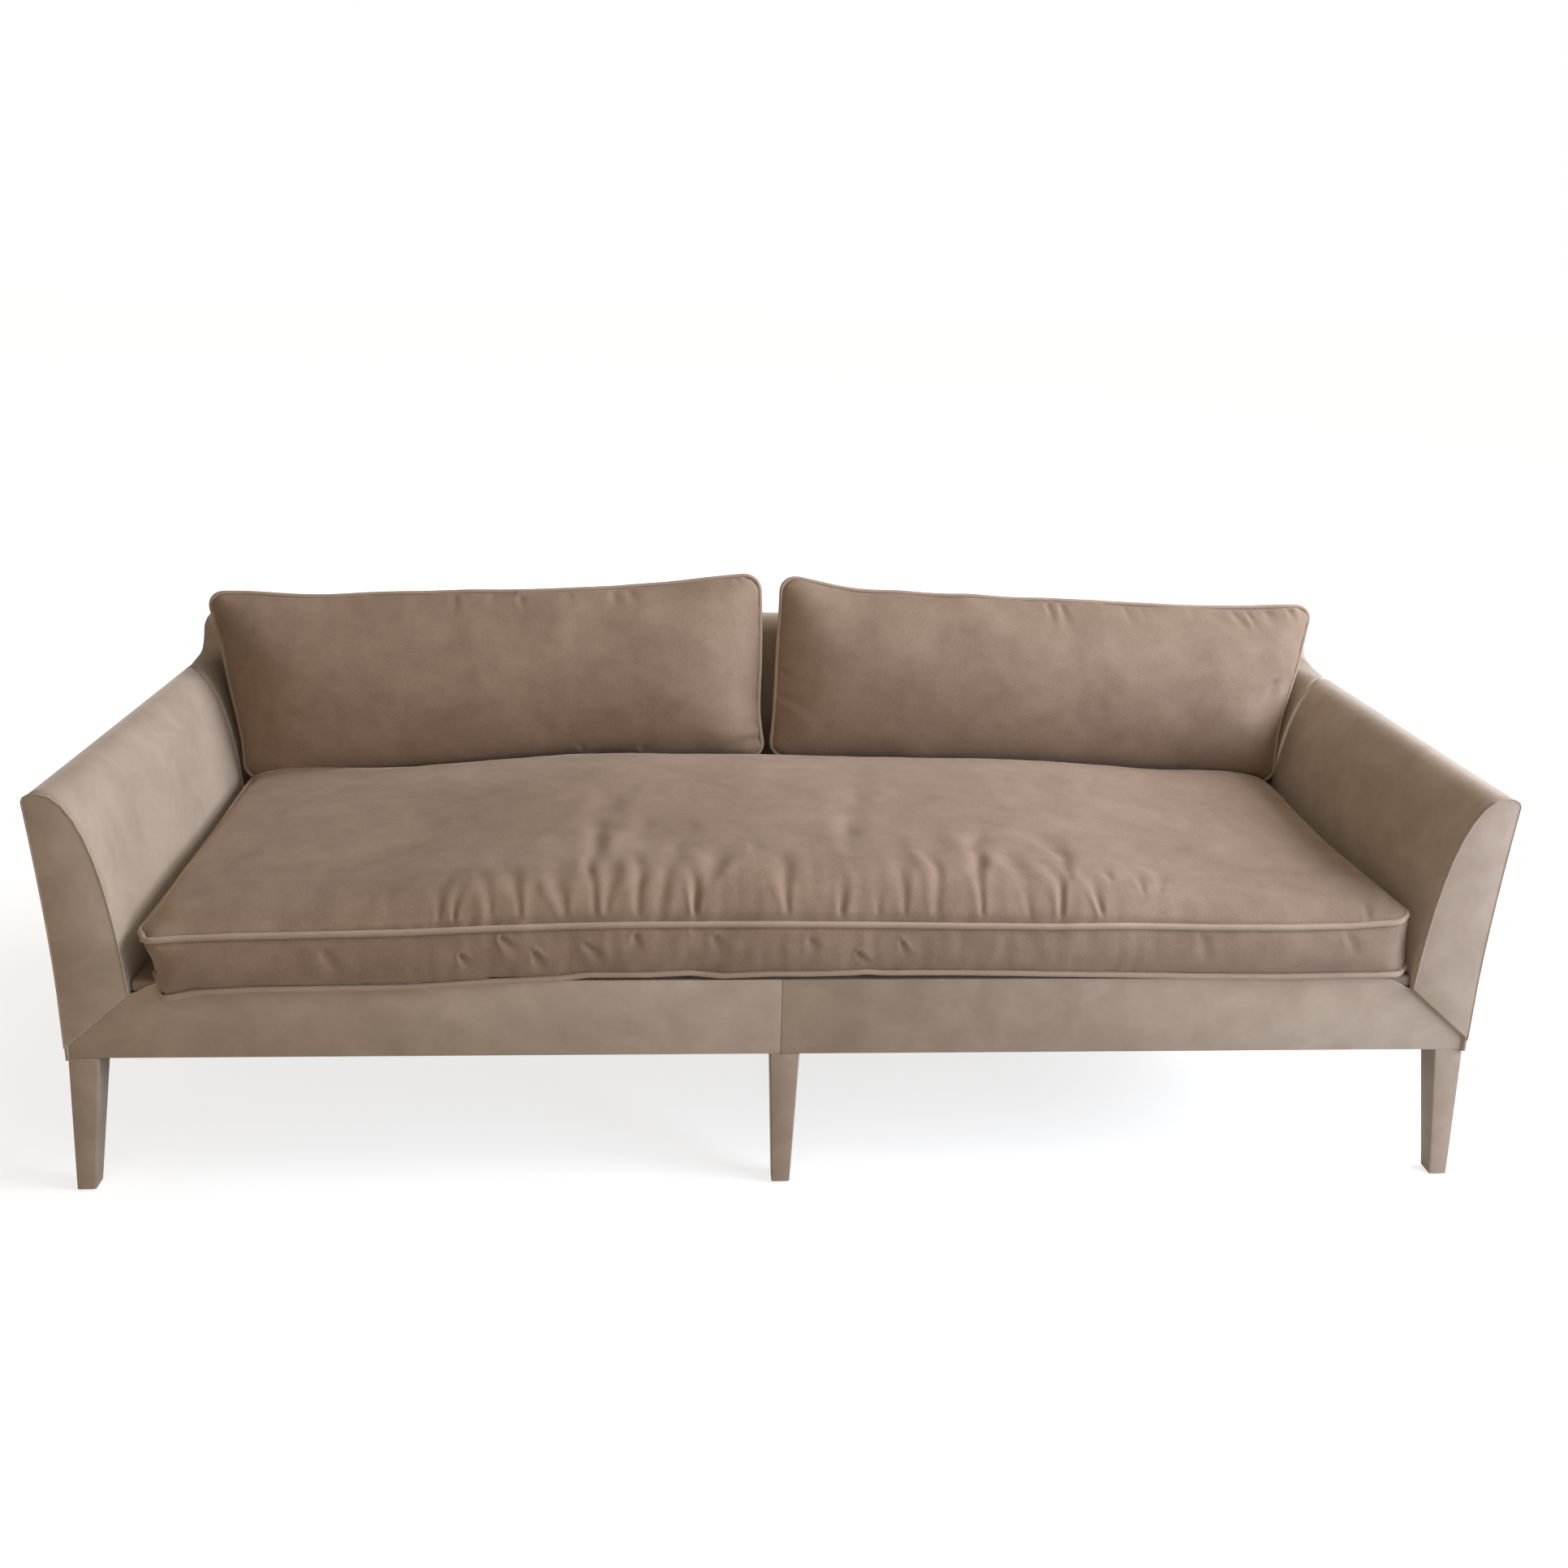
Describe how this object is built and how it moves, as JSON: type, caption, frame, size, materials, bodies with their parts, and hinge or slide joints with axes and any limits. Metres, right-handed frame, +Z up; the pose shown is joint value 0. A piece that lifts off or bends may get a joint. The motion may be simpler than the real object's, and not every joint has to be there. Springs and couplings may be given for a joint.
{
  "type": "sofa",
  "caption": "Long low sofa with gently flared arms that sweep up into the back, a one-piece box seat cushion, two loose back cushions and slim tapered wrapped legs.",
  "frame": {"origin": "on the floor under the centre of the sofa's box", "axes": "+X to the sitter's left along the sofa's length, -Y out of the front, +Z up"},
  "size_m": [2.19, 0.85, 0.844],
  "materials": {
    "frame_cloth": "matte brushed cotton-suede upholstery cloth",
    "cushion_velvet": "short-pile cotton velvet",
    "hardwood": "sawn, unfinished",
    "foam": "open-cell foam",
    "lining_cloth": "spun-bonded lining cloth",
    "webbing": "woven upholstery webbing",
    "spring_steel": "drawn wire",
    "brass_insert": "machined",
    "nylon_glide": "moulded nylon",
    "zip_tape": "woven tape with moulded coil",
    "zip_metal": "die-cast, antique"
  },
  "bodies": {
    "frame": {"inside_arm_left_cover": "frame_cloth", "inside_arm_right_cover": "frame_cloth", "inside_arm_left_pad": "foam", "inside_arm_right_pad": "foam", "outside_arm_left_panel": "frame_cloth", "outside_arm_right_panel": "frame_cloth", "arm_fascia_left": "frame_cloth", "arm_fascia_right": "frame_cloth", "inside_back_cover": "frame_cloth", "inside_back_pad": "foam", "outside_back_panel": "frame_cloth", "front_border_left": "frame_cloth", "front_border_right": "frame_cloth", "deck_pad": "foam", "deck_cloth": "lining_cloth", "dust_cover": "lining_cloth", "front_rail": "hardwood", "rear_rail": "hardwood", "side_rail_left": "hardwood", "side_rail_right": "hardwood", "seat_stretchers": "hardwood", "corner_blocks": "hardwood", "arm_post_left": "hardwood", "arm_post_right": "hardwood", "arm_top_rail_left": "hardwood", "arm_top_rail_right": "hardwood", "arm_tack_rails": "hardwood", "back_posts": "hardwood", "back_top_rail": "hardwood", "back_tack_rail": "hardwood", "back_webbing": "webbing", "seat_springs": "spring_steel", "spring_clips": "spring_steel", "spring_tie_wires": "spring_steel", "leg_front_left": "frame_cloth", "leg_front_centre": "frame_cloth", "leg_front_right": "frame_cloth", "leg_rear_left": "frame_cloth", "leg_rear_centre": "frame_cloth", "leg_rear_right": "frame_cloth", "leg_glides": "nylon_glide", "leg_bolts": "spring_steel", "leg_inserts": "brass_insert"},
    "seat_cushion": {"seat_cushion_cover": "cushion_velvet", "seat_cushion_core": "foam", "seat_zip_tape": "zip_tape"},
    "seat_zip_pull": {"seat_zip_slider": "zip_metal"},
    "back_cushion_left": {"back_cushion_left_cover": "cushion_velvet", "back_cushion_left_core": "foam", "back_zip_left_tape": "zip_tape"},
    "back_zip_left_pull": {"back_zip_left_slider": "zip_metal"},
    "back_cushion_right": {"back_cushion_right_cover": "cushion_velvet", "back_cushion_right_core": "foam", "back_zip_right_tape": "zip_tape"},
    "back_zip_right_pull": {"back_zip_right_slider": "zip_metal"}
  },
  "joints": [
    {"name": "seat_cushion_lift", "type": "slide", "parent": "frame", "child": "seat_cushion", "axis": [0, 0, 1], "range_m": [0, 0.6]},
    {"name": "back_cushion_left_lift", "type": "slide", "parent": "seat_cushion", "child": "back_cushion_left", "axis": [0, 0, 1], "range_m": [0, 0.35]},
    {"name": "back_cushion_right_lift", "type": "slide", "parent": "seat_cushion", "child": "back_cushion_right", "axis": [0, 0, 1], "range_m": [0, 0.35]},
    {"name": "seat_zip_slide", "type": "slide", "parent": "seat_cushion", "child": "seat_zip_pull", "axis": [1, 0, 0], "range_m": [0, 1.25]},
    {"name": "back_zip_left_slide", "type": "slide", "parent": "back_cushion_left", "child": "back_zip_left_pull", "axis": [0.9989, -0.0102, -0.046], "range_m": [0, 0.54]},
    {"name": "back_zip_right_slide", "type": "slide", "parent": "back_cushion_right", "child": "back_zip_right_pull", "axis": [-0.9989, -0.0102, -0.046], "range_m": [0, 0.54]}
  ]
}
